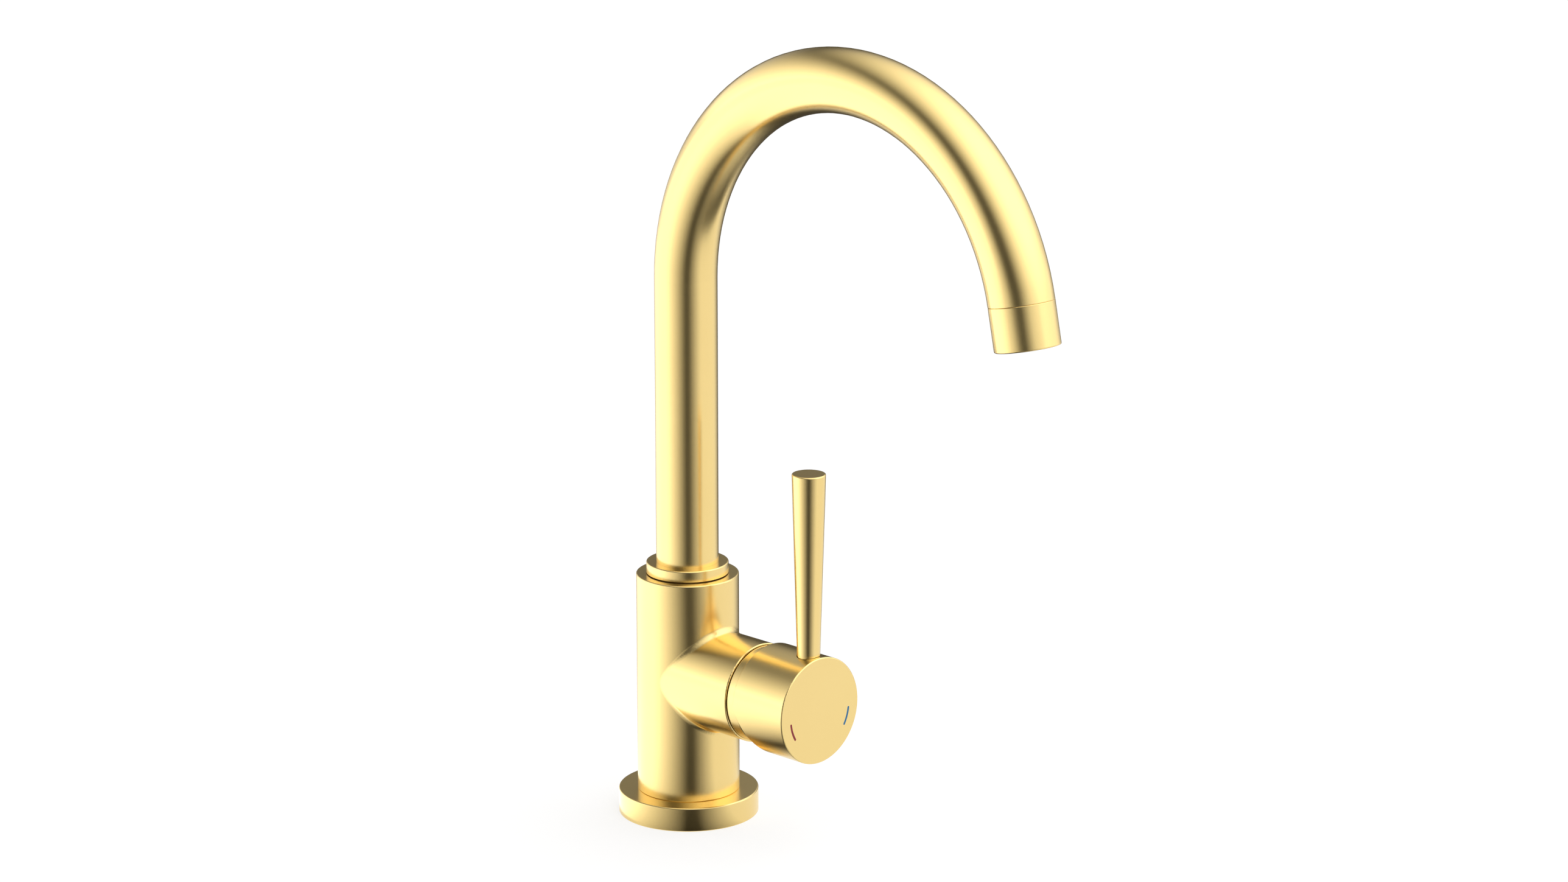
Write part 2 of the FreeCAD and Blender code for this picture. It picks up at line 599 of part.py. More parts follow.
thread_r = NUT_R + FIT
outer_foot = dome_point(DOME_R, RING_D / 2)
outer_rim = dome_point(DOME_R, DOME_HOLE_D / 2)
inner_rim = dome_point(DOME_R - DOME_T, DOME_HOLE_D / 2)
inner_foot = dome_point(DOME_R - DOME_T, thread_r)
ring_corners = [
    inner_foot, Vector(thread_r, 0, RING_AT), Vector(RING_D / 2, 0, RING_AT), outer_foot]
ring_edges = []
for corner, next_corner in zip(ring_corners, ring_corners[1:]):
    ring_edges.append(Part.makeLine(corner, next_corner))
ring_edges.append(dome_arc(DOME_R, outer_foot, outer_rim))
ring_edges.append(Part.makeLine(outer_rim, inner_rim))
ring_edges.append(dome_arc(DOME_R - DOME_T, inner_rim, inner_foot))
cover = Part.Face(Part.Wire(ring_edges)).revolve(Vector(0, 0, 0), Vector(0, 0, 1), 360)
save("cover_ring", forward(cover))


# Hub of the handle: a cup with the socket of the stem and two cross bosses
hub_r = HUB_D / 2
hub_outside = rod(hub_r, HUB_BACK, HUB_FRONT)
relief_depth = hub_r * math.tan(math.radians(HUB_RELIEF_ANGLE))
relief = Part.Face(Part.makePolygon([
    Vector(-hub_r, 0, HUB_BACK), Vector(-hub_r, -hub_r, HUB_BACK + relief_depth),
    Vector(-hub_r, -hub_r, HUB_BACK), Vector(-hub_r, 0, HUB_BACK)])).extrude(Vector(HUB_D, 0, 0))
hub = rounded(
    hub_outside, EDGE_R, lambda p: near(p.z, HUB_FRONT) and near(math.hypot(p.x, p.y), hub_r))
hub = hub.cut(relief)
back_limit = HUB_BACK + relief_depth + HUB_BACK_EDGE_R
hub = rounded(
    hub, HUB_BACK_EDGE_R, lambda p: p.z < back_limit and near(math.hypot(p.x, p.y), hub_r))
hub = hub.cut(rod(hub_r - HUB_WALL, HUB_BACK, HUB_INNER_FACE))
inside = rod(hub_r - HUB_WALL / 2, HUB_BACK, HUB_FRONT - HUB_FACE_T / 2)
bosses = rod(STEM_BOSS_D / 2, STEM_BOSS_AT, HUB_FRONT)
bosses = bosses.fuse(upright(LEVER_BOSS_D / 2, 0, hub_r, LEVER_AT))
bosses = bosses.fuse(upright(SET_SCREW_BOSS_D / 2, -hub_r, 0, SET_SCREW_AT))
hub = hub.fuse(bosses.common(inside)).cut(relief)

stem_half = STEM_SIZE / 2 + FIT
hub = hub.cut(block(stem_half, -stem_half, stem_half, HUB_BACK, STEM_END + CLEAR))
lever_foot = hub_r - LEVER_SINK
stud_foot = lever_foot - LEVER_STUD_IN_HUB
hub = hub.cut(upright(LEVER_BASE_D / 2 + CLEAR, lever_foot, HUB_D, LEVER_AT))
hub = hub.cut(upright(LEVER_STUD_D / 2 + FIT, stud_foot - CLEAR, lever_foot, LEVER_AT))
hub = hub.cut(upright(SET_SCREW_D / 2 + FIT, -hub_r, -STEM_SIZE / 2, SET_SCREW_AT))
plug_foot = hub_r - PLUG_L
hub = hub.cut(upright(PLUG_D / 2 + FIT, -HUB_D, -plug_foot, SET_SCREW_AT))


# Marks: two short strokes on one circle, let into the face
def mark(start_angle, end_angle):
    depth_from = HUB_FRONT - MARK_DEPTH
    stroke = tube_piece(MARK_R + MARK_W / 2, MARK_R - MARK_W / 2, depth_from, HUB_FRONT)
    far = 4 * MARK_R
    start = math.radians(start_angle)
    end = math.radians(end_angle)
    sector = Part.Face(Part.makePolygon([
        Vector(0, 0, depth_from),
        Vector(far * math.cos(start), far * math.sin(start), depth_from),
        Vector(far * math.cos(end), far * math.sin(end), depth_from),
        Vector(0, 0, depth_from)])).extrude(Vector(0, 0, MARK_DEPTH))
    stroke = stroke.common(sector)
    for angle in (start, end):
        end_x = MARK_R * math.cos(angle)
        end_y = MARK_R * math.sin(angle)
        stroke = stroke.fuse(rod(MARK_W / 2, depth_from, HUB_FRONT, end_x, end_y))
    return stroke.removeSplitter()


cold = mark(-MARK_END, -MARK_START)
hot = mark(180 + MARK_START, 180 + MARK_END)
hub = hub.cut(cold).cut(hot)
save("handle_hub", forward(hub))
save("cold_mark", forward(cold))
save("hot_mark", forward(hot))

# Lever with its threaded stud
lever_top = hub_r + LEVER_L
stud_top = stud_foot + LEVER_STUD_L
lever_stand = Placement(Vector(0, 0, LEVER_AT), Rotation(Vector(1, 0, 0), -90))
lever = turned([
    (0, lever_foot), (LEVER_BASE_D / 2, lever_foot), (LEVER_TOP_D / 2, lever_top), (0, lever_top)])
lever = rounded(lever, EDGE_R, lambda p: near(p.z, lever_top) and near(
    math.hypot(p.x, p.y), LEVER_TOP_D / 2))
lever = lever.cut(rod(LEVER_STUD_D / 2 + FIT, lever_foot, stud_top + CLEAR))
save("lever_rod", forward(placed(lever, lever_stand)))

stud = screw(LEVER_STUD_D, LEVER_STUD_L, False)
stud.translate(Vector(0, 0, stud_foot))
save("lever_stud", forward(placed(stud, lever_stand)))

# Screw under the hub that bears on the stem, and the plug over it
hang_down = Placement(Vector(0, 0, SET_SCREW_AT), Rotation(Vector(1, 0, 0), 90))
set_screw = screw(SET_SCREW_D, SET_SCREW_L, True)
set_screw.translate(Vector(0, 0, STEM_SIZE / 2))
save("handle_set_screw", forward(placed(set_screw, hang_down)))
plug = rod(PLUG_D / 2, plug_foot, hub_r)
plug = plug.common(placed(rod(hub_r, -PLUG_D, PLUG_D), Placement(Vector(), Rotation(Vector(1, 0, 0), 90))))
save("set_screw_plug", forward(placed(plug, hang_down)))
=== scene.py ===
import math

import bmesh
import bpy
from mathutils import Matrix, Vector

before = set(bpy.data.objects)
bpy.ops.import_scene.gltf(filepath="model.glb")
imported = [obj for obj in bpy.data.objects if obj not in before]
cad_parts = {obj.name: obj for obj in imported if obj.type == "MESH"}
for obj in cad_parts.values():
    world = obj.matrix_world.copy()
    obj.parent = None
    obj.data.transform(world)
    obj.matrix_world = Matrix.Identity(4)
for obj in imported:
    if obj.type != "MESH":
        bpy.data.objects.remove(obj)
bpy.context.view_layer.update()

# Foot flange: the round ring that stands on the deck and covers the hole.
# Turned brass, bead-blasted to a satin and coated gold in a vacuum chamber,
# held between the body and the deck by the pull of the fixing stud.


def linear(hex_colour):
    """Linear RGBA of an sRGB hex colour."""
    levels = [int(hex_colour[i:i + 2], 16) / 255 for i in (1, 3, 5)]
    return [c / 12.92 if c <= 0.04045 else ((c + 0.055) / 1.055) ** 2.4 for c in levels] + [1.0]


def add_node(tree, kind, inputs, **settings):
    """One shader node. An input is a value, or the output that is linked to it.

    Sockets that share a name go by number: a Mix of colours has its two colours
    at inputs 6 and 7 and its result at output 2.
    """
    made = tree.nodes.new("ShaderNode" + kind)
    for name, value in settings.items():
        setattr(made, name, value)
    for name, value in inputs.items():
        if isinstance(value, bpy.types.NodeSocket):
            tree.links.new(value, made.inputs[name])
        else:
            made.inputs[name].default_value = value
    return made


def start_finish(name):
    """An empty material, its tree, and the place on the piece in metres."""
    finish = bpy.data.materials.new(name)
    finish.use_nodes = True
    finish.node_tree.nodes.clear()
    place = add_node(finish.node_tree, "TexCoord", {}).outputs["Object"]
    return finish, finish.node_tree, place


def give(finish, *nodes):
    """Put a finish on CAD nodes, in the slot they already have."""
    for node in nodes:
        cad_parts[node].material_slots[0].material = finish


# Satin gold coating on blasted brass: a warm yellow metal with wide soft
# highlights. The coat is even, with a faint cloud of 45 mm in its tone, and the blasting
# shows only as a grain in the gloss. The real grain is about 0.05 mm, drawn at 0.4 mm.
GOLD_TONES = ("#EDD08A", "#F1D692")
GOLD_CLOUD = 0.045
GOLD_GRAIN = 0.0004
GOLD_GRAIN_SPAN = (0.3, 0.7)
GOLD_ROUGHNESS = (0.235, 0.255)
gold, tree, place = start_finish("satin_gold_coated_brass")
cloud = add_node(tree, "TexNoise", {"Vector": place, "Scale": 1 / GOLD_CLOUD, "Detail": 2.0})
grain = add_node(tree, "TexNoise", {"Vector": place, "Scale": 1 / GOLD_GRAIN, "Detail": 1.0})
tone = add_node(tree, "Mix", {
    0: cloud.outputs["Fac"], 6: linear(GOLD_TONES[0]), 7: linear(GOLD_TONES[1])}, data_type="RGBA")
satin = add_node(tree, "MapRange", {
    "Value": grain.outputs["Fac"], "From Min": GOLD_GRAIN_SPAN[0], "From Max": GOLD_GRAIN_SPAN[1],
    "To Min": GOLD_ROUGHNESS[0], "To Max": GOLD_ROUGHNESS[1]})
shader = add_node(tree, "BsdfPrincipled", {
    "Base Color": tone.outputs[2], "Metallic": 1.0, "Roughness": satin.outputs["Result"]})
add_node(tree, "OutputMaterial", {"Surface": shader.outputs["BSDF"]})
give(gold, "base_flange")


# Foot gasket: a flat ring in the groove under the flange, which keeps water
# out of the deck hole. Pressed EPDM rubber, squeezed when the stud is tightened.

# EPDM rubber, moulded: dull black with a grey bloom of 4 mm and a fine grain, so it
# shows almost no highlight. The grain of the mould is about 0.1 mm, drawn at 0.2 mm.
RUBBER_TONES = ("#151515", "#262524")
RUBBER_BLOOM = 0.004
RUBBER_GRAIN = 0.0002
RUBBER_GRAIN_DEPTH = 0.0001
RUBBER_ROUGHNESS = (0.55, 0.8)
rubber, tree, place = start_finish("moulded_epdm_rubber")
bloom = add_node(tree, "TexNoise", {"Vector": place, "Scale": 1 / RUBBER_BLOOM, "Detail": 4.0})
mould = add_node(tree, "TexNoise", {"Vector": place, "Scale": 1 / RUBBER_GRAIN, "Detail": 1.0})
tone = add_node(tree, "Mix", {
    0: bloom.outputs["Fac"], 6: linear(RUBBER_TONES[0]), 7: linear(RUBBER_TONES[1])}, data_type="RGBA")
dull = add_node(tree, "MapRange", {
    "Value": bloom.outputs["Fac"], "To Min": RUBBER_ROUGHNESS[0], "To Max": RUBBER_ROUGHNESS[1]})
grain = add_node(tree, "Bump", {
    "Height": mould.outputs["Fac"], "Strength": 0.2, "Distance": RUBBER_GRAIN_DEPTH})
shader = add_node(tree, "BsdfPrincipled", {
    "Base Color": tone.outputs[2], "Roughness": dull.outputs["Result"], "IOR": 1.52,
    "Normal": grain.outputs["Normal"]})
add_node(tree, "OutputMaterial", {"Surface": shader.outputs["BSDF"]})
give(rubber, "base_gasket")


# Valve body: the upright column with the boss of the cartridge in front.
# Cast brass, machined, then blasted and coated with the flange. Its foot
# stands inside the flange, and the stud and the hoses screw into it from below.
give(gold, "valve_body")


# Spout lock screw: a headless screw in the back of the body, whose tip runs in
# the groove of the spigot. Stainless steel, turned and threaded.

# Stainless steel, turned: a cool grey metal with fine rings from the tool.
# The feed of the tool is about 0.08 mm, drawn at 0.2 mm to show.
# WAVE_BAND is the width of a wave texture's band at a scale of 1.
STEEL_TONES = ("#8F9193", "#B9BABC")
STEEL_FEED = 0.0002
STEEL_ROUGHNESS = (0.25, 0.38)
WAVE_BAND = math.pi / 10
steel, tree, place = start_finish("turned_stainless_steel")
rings = add_node(tree, "TexWave", {
    "Vector": place, "Scale": WAVE_BAND / STEEL_FEED, "Distortion": 0.6, "Detail": 1.0},
    bands_direction="Y")
tone = add_node(tree, "Mix", {
    0: rings.outputs["Fac"], 6: linear(STEEL_TONES[0]), 7: linear(STEEL_TONES[1])}, data_type="RGBA")
polish = add_node(tree, "MapRange", {
    "Value": rings.outputs["Fac"], "To Min": STEEL_ROUGHNESS[0], "To Max": STEEL_ROUGHNESS[1]})
shader = add_node(tree, "BsdfPrincipled", {
    "Base Color": tone.outputs[2], "Metallic": 1.0, "Roughness": polish.outputs["Result"]})
add_node(tree, "OutputMaterial", {"Surface": shader.outputs["BSDF"]})
give(steel, "spout_lock_screw")


# Glide ring: the plain bearing between the body and the turning collar.
# Injection-moulded acetal, laid in its seat before the spigot goes in.

# Acetal, moulded: milky white and slightly waxy, with faint flow clouds of 6 mm.
ACETAL_TONES = ("#D9D7D0", "#E4E2DC")
ACETAL_FLOW = 0.006
ACETAL_ROUGHNESS = (0.35, 0.48)
acetal, tree, place = start_finish("moulded_acetal")
flow = add_node(tree, "TexNoise", {
    "Vector": place, "Scale": 1 / ACETAL_FLOW, "Detail": 3.0, "Distortion": 0.8})
tone = add_node(tree, "Mix", {
    0: flow.outputs["Fac"], 6: linear(ACETAL_TONES[0]), 7: linear(ACETAL_TONES[1])}, data_type="RGBA")
wax = add_node(tree, "MapRange", {
    "Value": flow.outputs["Fac"], "To Min": ACETAL_ROUGHNESS[0], "To Max": ACETAL_ROUGHNESS[1]})
shader = add_node(tree, "BsdfPrincipled", {
    "Base Color": tone.outputs[2], "Roughness": wax.outputs["Result"], "IOR": 1.48})
add_node(tree, "OutputMaterial", {"Surface": shader.outputs["BSDF"]})
give(acetal, "spout_glide_ring")


# Spigot: the turned foot of the spout, brazed into the tube, which turns in the
# body on two rubber seals. Free-cutting brass, left bare because the body hides it.

# Brass, turned and left bare: yellow metal with the rings of the tool and the brown
# of light tarnish, 5 mm wide. The feed is about 0.1 mm, drawn at 0.25 mm to show.
BRASS_TONES = ("#A98A4E", "#D2B570")
BRASS_FEED = 0.00025
BRASS_TARNISH = 0.005
BRASS_ROUGHNESS = (0.22, 0.36)
brass, tree, place = start_finish("turned_bare_brass")
rings = add_node(tree, "TexWave", {
    "Vector": place, "Scale": WAVE_BAND / BRASS_FEED, "Distortion": 0.5, "Detail": 1.0},
    bands_direction="Z")
tarnish = add_node(tree, "TexNoise", {"Vector": place, "Scale": 1 / BRASS_TARNISH, "Detail": 4.0})
tone = add_node(tree, "Mix", {
    0: tarnish.outputs["Fac"], 6: linear(BRASS_TONES[0]), 7: linear(BRASS_TONES[1])}, data_type="RGBA")
polish = add_node(tree, "MapRange", {
    "Value": rings.outputs["Fac"], "To Min": BRASS_ROUGHNESS[0], "To Max": BRASS_ROUGHNESS[1]})
shader = add_node(tree, "BsdfPrincipled", {
    "Base Color": tone.outputs[2], "Metallic": 1.0, "Roughness": polish.outputs["Result"]})
add_node(tree, "OutputMaterial", {"Surface": shader.outputs["BSDF"]})
give(brass, "spout_spigot")
give(rubber, "spout_o_rings")


# Spout: the collar and the gooseneck, one drawn brass tube bent on a mandrel,
# with the collar pressed on its foot. Blasted and coated together.
give(gold, "spout_collar", "spout_tube")


# Outlet: a threaded nipple brazed into the tube, the gold sleeve that screws on
# it, and the flow insert with its flat seal between them.

# Grey ABS, moulded: even mid grey with a light spark-eroded texture of 0.15 mm,
# which takes the shine off.
ABS_TONES = ("#8A8B8D", "#98999B")
ABS_TEXTURE = 0.00015
ABS_TEXTURE_DEPTH = 0.00005
ABS_ROUGHNESS = (0.4, 0.55)
abs_grey, tree, place = start_finish("moulded_grey_abs")
spark = add_node(tree, "TexNoise", {"Vector": place, "Scale": 1 / ABS_TEXTURE, "Detail": 2.0})
tone = add_node(tree, "Mix", {
    0: spark.outputs["Fac"], 6: linear(ABS_TONES[0]), 7: linear(ABS_TONES[1])}, data_type="RGBA")
matt = add_node(tree, "MapRange", {
    "Value": spark.outputs["Fac"], "To Min": ABS_ROUGHNESS[0], "To Max": ABS_ROUGHNESS[1]})
grain = add_node(tree, "Bump", {
    "Height": spark.outputs["Fac"], "Strength": 0.15, "Distance": ABS_TEXTURE_DEPTH})
shader = add_node(tree, "BsdfPrincipled", {
    "Base Color": tone.outputs[2], "Roughness": matt.outputs["Result"], "IOR": 1.54,
    "Normal": grain.outputs["Normal"]})
add_node(tree, "OutputMaterial", {"Surface": shader.outputs["BSDF"]})
give(brass, "outlet_bush")
give(rubber, "aerator_gasket")
give(abs_grey, "aerator_insert")
give(gold, "aerator_sleeve")


# Cartridge: the ceramic-disc valve that the lever works. A base with its port
# seals, two lapped discs, the carrier and rotor that move one of them, and the shell.

# Alumina ceramic, fired and lapped: hard off-white with grey specks and a smooth,
# faintly shiny face. The specks are about 0.1 mm, drawn at 0.4 mm to show.
CERAMIC_TONES = ("#CFCBC2", "#EAE7E0")
CERAMIC_SPECK = 0.0004
CERAMIC_ROUGHNESS = (0.12, 0.25)
ceramic, tree, place = start_finish("lapped_alumina_ceramic")
specks = add_node(tree, "TexNoise", {"Vector": place, "Scale": 1 / CERAMIC_SPECK, "Detail": 3.0})
tone = add_node(tree, "Mix", {
    0: specks.outputs["Fac"], 6: linear(CERAMIC_TONES[0]), 7: linear(CERAMIC_TONES[1])},
    data_type="RGBA")
lap = add_node(tree, "MapRange", {
    "Value": specks.outputs["Fac"], "To Min": CERAMIC_ROUGHNESS[0], "To Max": CERAMIC_ROUGHNESS[1]})
shader = add_node(tree, "BsdfPrincipled", {
    "Base Color": tone.outputs[2], "Roughness": lap.outputs["Result"], "IOR": 1.76})
add_node(tree, "OutputMaterial", {"Surface": shader.outputs["BSDF"]})
give(acetal, "cartridge_base", "cartridge_shell")
give(rubber, "port_seals", "rotor_o_ring")
give(ceramic, "fixed_disc", "moving_disc")
give(abs_grey, "disc_carrier", "cartridge_rotor")
give(steel, "pivot_pin")
give(brass, "cartridge_stem")


# Cartridge nut and cover ring: the brass nut holds the cartridge down in the
# boss, and the ring screws over it, with a dome that closes the back of the handle.
give(brass, "cartridge_nut")
give(gold, "cover_ring")


# Handle: the round hub on the stem and the tapered lever, joined by a threaded
# stud. Turned brass in the gold of the body, fixed by a screw from below.

# Gold ABS, moulded: the little plug over the screw, in a lacquer that follows
# the metal's colour but is flatter, with flakes of 0.2 mm.
PLUG_TONES = ("#D9B66C", "#E3C27A")
PLUG_FLAKE = 0.0002
PLUG_ROUGHNESS = (0.3, 0.42)
lacquer, tree, place = start_finish("gold_lacquered_abs")
flake = add_node(tree, "TexNoise", {"Vector": place, "Scale": 1 / PLUG_FLAKE, "Detail": 2.0})
tone = add_node(tree, "Mix", {
    0: flake.outputs["Fac"], 6: linear(PLUG_TONES[0]), 7: linear(PLUG_TONES[1])}, data_type="RGBA")
coat = add_node(tree, "MapRange", {
    "Value": flake.outputs["Fac"], "To Min": PLUG_ROUGHNESS[0], "To Max": PLUG_ROUGHNESS[1]})
shader = add_node(tree, "BsdfPrincipled", {
    "Base Color": tone.outputs[2], "Metallic": 0.8, "Roughness": coat.outputs["Result"]})
add_node(tree, "OutputMaterial", {"Surface": shader.outputs["BSDF"]})
give(gold, "handle_hub", "lever_rod")
give(steel, "lever_stud", "handle_set_screw")
give(lacquer, "set_screw_plug")


# Temperature marks: two short strokes on the face of the hub, red for hot and
# blue for cold. Grooves filled with enamel and wiped level with the metal.

# Cold-fill enamel, wiped: a thin even colour with a soft sheen, in which the wiping
# leaves faint ripples of about 0.5 mm.
MARKS = {"hot_mark": ("#851D27", "#972C35"), "cold_mark": ("#196795", "#2A78A8")}
ENAMEL_RIPPLE = 0.0005
ENAMEL_ROUGHNESS = (0.45, 0.6)
for mark, tones in MARKS.items():
    enamel, tree, place = start_finish("cold_fill_enamel_" + mark)
    ripple = add_node(tree, "TexNoise", {"Vector": place, "Scale": 1 / ENAMEL_RIPPLE, "Detail": 1.0})
    tone = add_node(tree, "Mix", {
        0: ripple.outputs["Fac"], 6: linear(tones[0]), 7: linear(tones[1])}, data_type="RGBA")
    sheen = add_node(tree, "MapRange", {
        "Value": ripple.outputs["Fac"], "To Min": ENAMEL_ROUGHNESS[0], "To Max": ENAMEL_ROUGHNESS[1]})
    shader = add_node(tree, "BsdfPrincipled", {
        "Base Color": tone.outputs[2], "Roughness": sheen.outputs["Result"], "IOR": 1.5})
    add_node(tree, "OutputMaterial", {"Surface": shader.outputs["BSDF"]})
    give(enamel, mark)


# Camera: a long lens, 1.8 m away, to the left of the front and 15 degrees up.
CAMERA_PLACE = (-1.16844, -1.20981, 0.60335)
CAMERA_AIM = Vector((0.68694, 0.67934, -0.25809))
LENS_MM = 100.65
SENSOR_MM = 36.0
scene = bpy.context.scene
lens = bpy.data.cameras.new("camera")
lens.sensor_width = SENSOR_MM
lens.lens = LENS_MM
camera = bpy.data.objects.new("camera", lens)
camera.location = CAMERA_PLACE
camera.rotation_mode = "QUATERNION"
camera.rotation_quaternion = CAMERA_AIM.to_track_quat("-Z", "Y")
scene.collection.objects.link(camera)
scene.camera = camera
scene.view_settings.view_transform = "Standard"


# Floor: a pale studio floor that turns up into a low round wall, far from the
# object. It is white to the camera and in the metal, and keeps the shadow.
# It lies a hair below the foot, so that the two don't share a plane.
FLOOR_R = 6.0
FLOOR_WALL = 0.95
FLOOR_RIM = ((FLOOR_R - 0.8, 0), (FLOOR_R - 0.3, 0.1), (FLOOR_R, 0.4), (FLOOR_R, FLOOR_WALL))
FLOOR_DROP = 0.0001
PAPER_TONE = "#8A8A8A"
PAPER_WHITE = 0.75
TURN_STEPS = 96
MERGE = 1e-5


def turned(profile, inward=False):
    """A sheet of revolution about +Z from points given as radius and height."""
    bm = bmesh.new()
    line = [bm.verts.new((far, 0, height)) for far, height in profile]
    edges = [bm.edges.new(pair) for pair in zip(line, line[1:])]
    bmesh.ops.spin(
        bm, geom=line + edges, axis=(0, 0, 1), angle=2 * math.pi, steps=TURN_STEPS, use_merge=True)
    bmesh.ops.remove_doubles(bm, verts=bm.verts, dist=MERGE)
    bmesh.ops.recalc_face_normals(bm, faces=bm.faces)
    if inward:
        bmesh.ops.reverse_faces(bm, faces=bm.faces)
    return bm


def stage_object(name, bm, finish):
    """A piece of the studio, which is no part of the object."""
    mesh = bpy.data.meshes.new(name)
    bm.to_mesh(mesh)
    bm.free()
    mesh.materials.append(finish)
    made = bpy.data.objects.new(name, mesh)
    scene.collection.objects.link(made)
    return made


paper, tree, _ = start_finish("white_studio_paper")
rays = add_node(tree, "LightPath", {})
seen = add_node(tree, "Math", {
    0: rays.outputs["Is Camera Ray"], 1: rays.outputs["Is Glossy Ray"]}, operation="MAXIMUM")
seen = add_node(tree, "Math", {
    0: seen.outputs[0], 1: rays.outputs["Is Transmission Ray"]}, operation="MAXIMUM")
lift = add_node(tree, "Math", {0: seen.outputs[0], 1: PAPER_WHITE}, operation="MULTIPLY")
white = add_node(tree, "Emission", {"Strength": lift.outputs[0]})
matt = add_node(tree, "BsdfDiffuse", {"Color": linear(PAPER_TONE)})
both = add_node(tree, "AddShader", {0: matt.outputs[0], 1: white.outputs[0]})
add_node(tree, "OutputMaterial", {"Surface": both.outputs[0]})
floor = turned([(far, height - FLOOR_DROP) for far, height in ((0, 0), *FLOOR_RIM)], inward=True)
stage_object("floor", floor, paper)


# Light: a dim studio with one large soft side high on the right and one low on
# the left, which leave a dark line between them down each round piece.
# Sides are given by their bearing from the camera's, to the right, and height.
TO_CAMERA = Vector((-0.7111, -0.7031, 0))
TO_RIGHT = Vector((0.7031, -0.7111, 0))
DIM = 0.06
RIGHT_SIDE = {"bearing": 82, "height": 48, "reach": (0.1, 0.92), "level": 2.0, "upright": 1.0}
LEFT_SIDE = {"bearing": -108, "height": -14, "reach": (0.25, 0.9), "level": 2.0, "upright": 1.35}


def bearing(degrees):
    """The level direction at a bearing from the camera's."""
    turn = math.radians(degrees)
    return TO_CAMERA * math.cos(turn) + TO_RIGHT * math.sin(turn)


world = bpy.data.worlds.new("studio")
world.use_nodes = True
scene.world = world
tree = world.node_tree
tree.nodes.clear()
direction = add_node(tree, "TexCoord", {}).outputs["Generated"]
glows = []
for side, least in ((RIGHT_SIDE, DIM), (LEFT_SIDE, 0.0)):
    rise = math.radians(side["height"])
    middle = bearing(side["bearing"]) * math.cos(rise) + Vector((0, 0, math.sin(rise)))
    squeeze = Vector((1, 1, side["upright"]))
    flat = add_node(tree, "VectorMath", {0: direction, 1: squeeze}, operation="MULTIPLY")
    unit = add_node(tree, "VectorMath", {0: flat.outputs[0]}, operation="NORMALIZE")
    nearness = add_node(tree, "VectorMath", {
        0: unit.outputs[0], 1: (middle * squeeze).normalized()}, operation="DOT_PRODUCT")
    glow = add_node(tree, "MapRange", {
        "Value": nearness.outputs["Value"], "From Min": side["reach"][0], "From Max": side["reach"][1],
        "To Min": least, "To Max": side["level"]})
    glows.append(glow.outputs["Result"])
total = add_node(tree, "Math", {0: glows[0], 1: glows[1]}, operation="ADD")
sky = add_node(tree, "Background", {"Color": linear("#FFFFFF"), "Strength": total.outputs[0]})
add_node(tree, "OutputWorld", {"Surface": sky.outputs[0]})


# Soft lamps: a wide panel on the left that rises from the floor to the wall, and a
# steep one far out on the right. A lamp runs out along its side and is shifted across.
LAMP_LIFT = 0.0005
LAMPS = {
    "left_panel": {
        "side": -90, "from": 1.5, "to": 3.3, "rise": 0.75, "width": 2.8, "shift": 0.3, "level": 0.7},
    "right_panel": {
        "side": 90, "from": 4.4, "to": 4.9, "rise": 0.9, "width": 7.0, "shift": -0.3, "level": 0.5},
}
for name, panel in LAMPS.items():
    out = bearing(panel["side"])
    reach = out * (panel["to"] - panel["from"]) + Vector((0, 0, panel["rise"]))
    along = reach.normalized()
    across = Vector((0, 0, -1)).cross(out)
    middle = out * panel["from"] + reach / 2 + across * panel["shift"] + Vector((0, 0, LAMP_LIFT))
    lamp = bpy.data.lights.new(name, "AREA")
    lamp.shape = "RECTANGLE"
    lamp.size = reach.length
    lamp.size_y = panel["width"]
    lamp.energy = panel["level"] * math.pi * lamp.size * lamp.size_y
    lamp_object = bpy.data.objects.new(name, lamp)
    turn = Matrix((along, across, along.cross(across))).transposed().to_4x4()
    lamp_object.matrix_world = Matrix.Translation(middle) @ turn
    lamp_object.visible_camera = False
    scene.collection.objects.link(lamp_object)


# Painted dark reflections: dark grey cards with a faint mottle, out of the camera's sight and hidden
# from shadows and diffuse light, so they show only in the metal as its dark lines. One lies on the
# floor in front and behind, and one stands along the wall there. Each card is dense within the first
# angle of its bearing and gone at the second, in degrees.
DARK_REFLECTION_TONES = ("#303030", "#404040")
DARK_REFLECTION_MOTTLE = 0.001
FLOOR_CARD_BEARINGS = {5: (6, 48), 170: (12, 46)}
FLOOR_CARD_R = 5.0
FLOOR_CARD_LIFT = 0.0002
WALL_BEARINGS = {-16: (10, 42), 180: (10, 40)}
WHOLE_TURN = 360


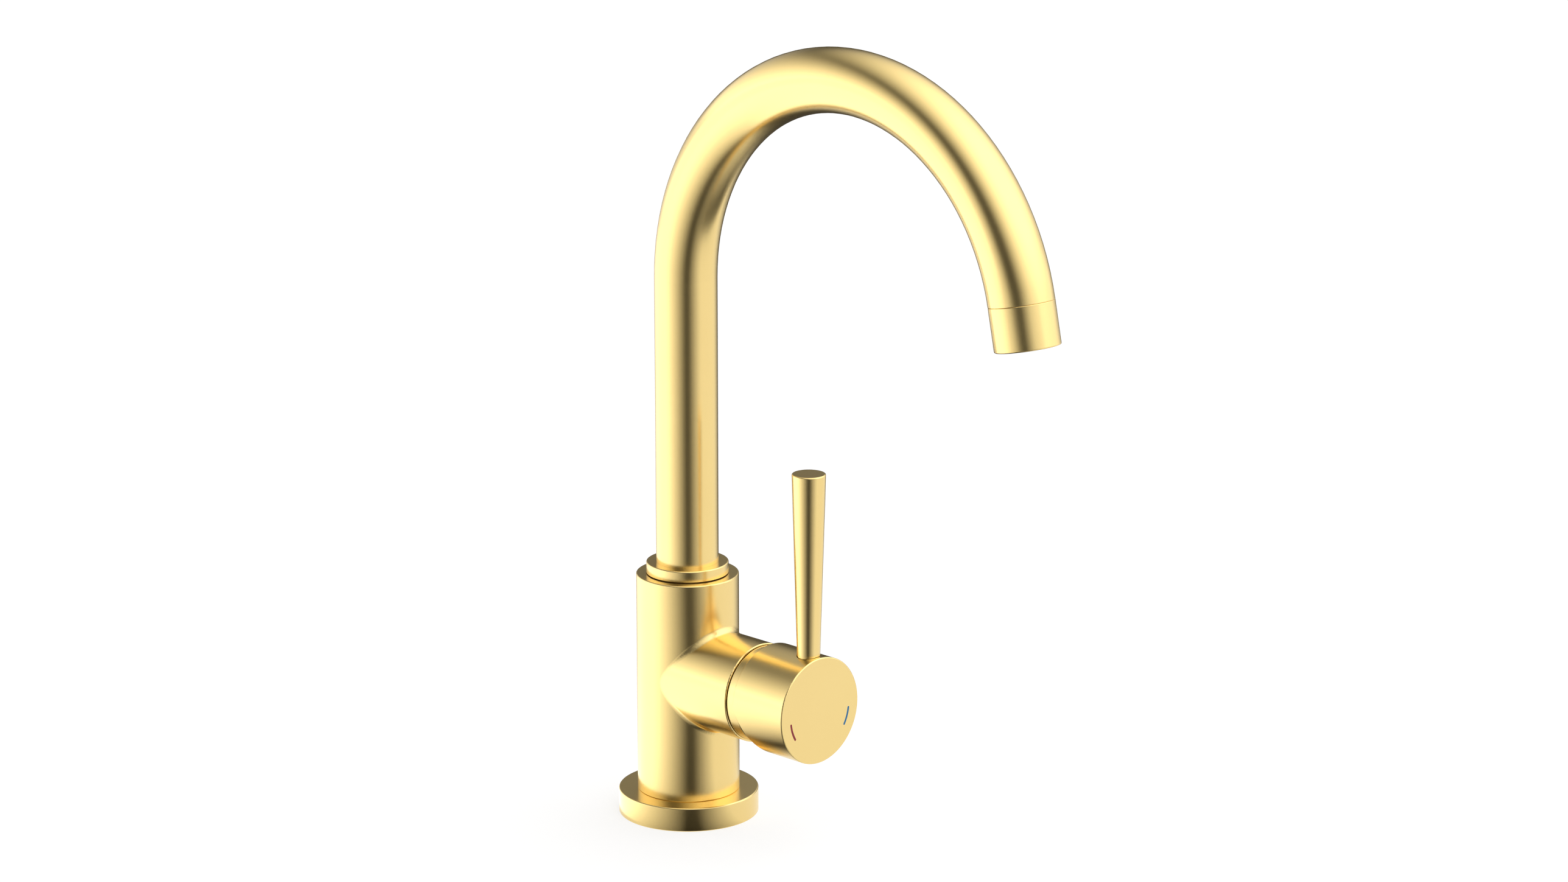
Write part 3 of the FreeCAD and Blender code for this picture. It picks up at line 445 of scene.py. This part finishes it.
def bearing_card(name, bm, bearings, glow=0.0, heights=None):
    """A card that is dense about its bearings and open elsewhere and from its back.

    Given heights, it is open at the first and dense at the second.
    """
    finish, tree, place = start_finish(name)
    cover = None
    for side, (dense, thin) in bearings.items():
        facing = bearing(side)
        level = add_node(tree, "Mapping", {
            "Vector": place, "Rotation": (0, 0, -math.atan2(facing.y, facing.x))})
        # The radial gradient is one half along the bearing, and goes from 0 to 1 round it.
        angle = add_node(tree, "TexGradient", {"Vector": level.outputs[0]}, gradient_type="RADIAL")
        off = add_node(tree, "Math", {0: angle.outputs["Fac"], 1: 0.5}, operation="SUBTRACT")
        off = add_node(tree, "Math", {0: off.outputs[0]}, operation="ABSOLUTE")
        fade = add_node(tree, "MapRange", {
            "Value": off.outputs[0], "From Min": dense / WHOLE_TURN, "From Max": thin / WHOLE_TURN,
            "To Min": 1.0, "To Max": 0.0})
        if cover:
            fade = add_node(tree, "Math", {0: fade.outputs[0], 1: cover}, operation="MAXIMUM")
        cover = fade.outputs[0]
    if heights:
        height = add_node(tree, "SeparateXYZ", {"Vector": place}).outputs["Z"]
        fade = add_node(tree, "MapRange", {
            "Value": height, "From Min": heights[0], "From Max": heights[1]})
        cover = add_node(tree, "Math", {0: fade.outputs[0], 1: cover}, operation="MULTIPLY").outputs[0]
    if glow:
        # Painted highlight: the card glows though it is no lamp.
        sheet = add_node(tree, "Emission", {"Strength": glow})
    else:
        # Painted dark reflection: a dark grey with a faint mottle, seen only in the metal.
        mottle = add_node(tree, "TexNoise", {"Vector": place, "Scale": 1 / DARK_REFLECTION_MOTTLE})
        tone = add_node(tree, "Mix", {
            0: mottle.outputs["Fac"], 6: linear(DARK_REFLECTION_TONES[0]), 7: linear(DARK_REFLECTION_TONES[1])},
            data_type="RGBA")
        sheet = add_node(tree, "BsdfDiffuse", {"Color": tone.outputs[2]})
    clear = add_node(tree, "BsdfTransparent", {})
    back = add_node(tree, "NewGeometry", {}).outputs["Backfacing"]
    front = add_node(tree, "Math", {0: cover, 1: back}, operation="SUBTRACT", use_clamp=True)
    mixed = add_node(tree, "MixShader", {0: front.outputs[0], 1: clear.outputs[0], 2: sheet.outputs[0]})
    add_node(tree, "OutputMaterial", {"Surface": mixed.outputs[0]})
    card = stage_object(name, bm, finish)
    # Hidden from the camera, from shadows and from diffuse light, the card shows only in reflections: a
    # painted dark reflection, or a painted highlight when it glows.
    card.visible_camera = False
    card.visible_shadow = False
    card.visible_diffuse = False


floor_card = turned([(0, FLOOR_CARD_LIFT), (FLOOR_CARD_R, FLOOR_CARD_LIFT)])
bearing_card("painted_dark_reflection_floor", floor_card, FLOOR_CARD_BEARINGS)
wall_card = turned([(FLOOR_CARD_R, FLOOR_CARD_LIFT), (FLOOR_CARD_R, FLOOR_WALL)], inward=True)
bearing_card("painted_dark_reflection_wall", wall_card, WALL_BEARINGS)


# Painted shade in the bend: a dark cone round the upper riser on the right, seen only in reflections,
# which paints a dark reflection on the inside of the gooseneck alone. It falls faster than what the
# upright pieces reflect, so it doesn't show in them, and it thins out towards the riser.
SKIRT_BEARINGS = {75: (25, 85)}
SKIRT_TOP = 0.2
SKIRT_SLOPE = math.radians(27)
SKIRT_RADII = (0.02, 0.2)
SKIRT_DENSE_R = 0.1
skirt_open, skirt_foot, skirt_dense = [
    SKIRT_TOP - far * math.tan(SKIRT_SLOPE) for far in (*SKIRT_RADII, SKIRT_DENSE_R)]
skirt = turned(list(zip(SKIRT_RADII, (skirt_open, skirt_foot))))
bearing_card("painted_dark_reflection_cone", skirt, SKIRT_BEARINGS, heights=(skirt_open, skirt_dense))


# Painted highlight: a glowing sheet on the floor on the left, with soft ends, which is no lamp and
# shows only in reflections, where it paints the low bright side of the round pieces.
SHEET_BEARINGS = {-102: (25, 58)}
SHEET_RADII = (0.03, 1.6)
SHEET_LIFT = 0.0003
PAINTED_HIGHLIGHT_LEVEL = 1.9
sheet = turned([(far, SHEET_LIFT) for far in SHEET_RADII])
bearing_card("painted_highlight_sheet", sheet, SHEET_BEARINGS, glow=PAINTED_HIGHLIGHT_LEVEL)
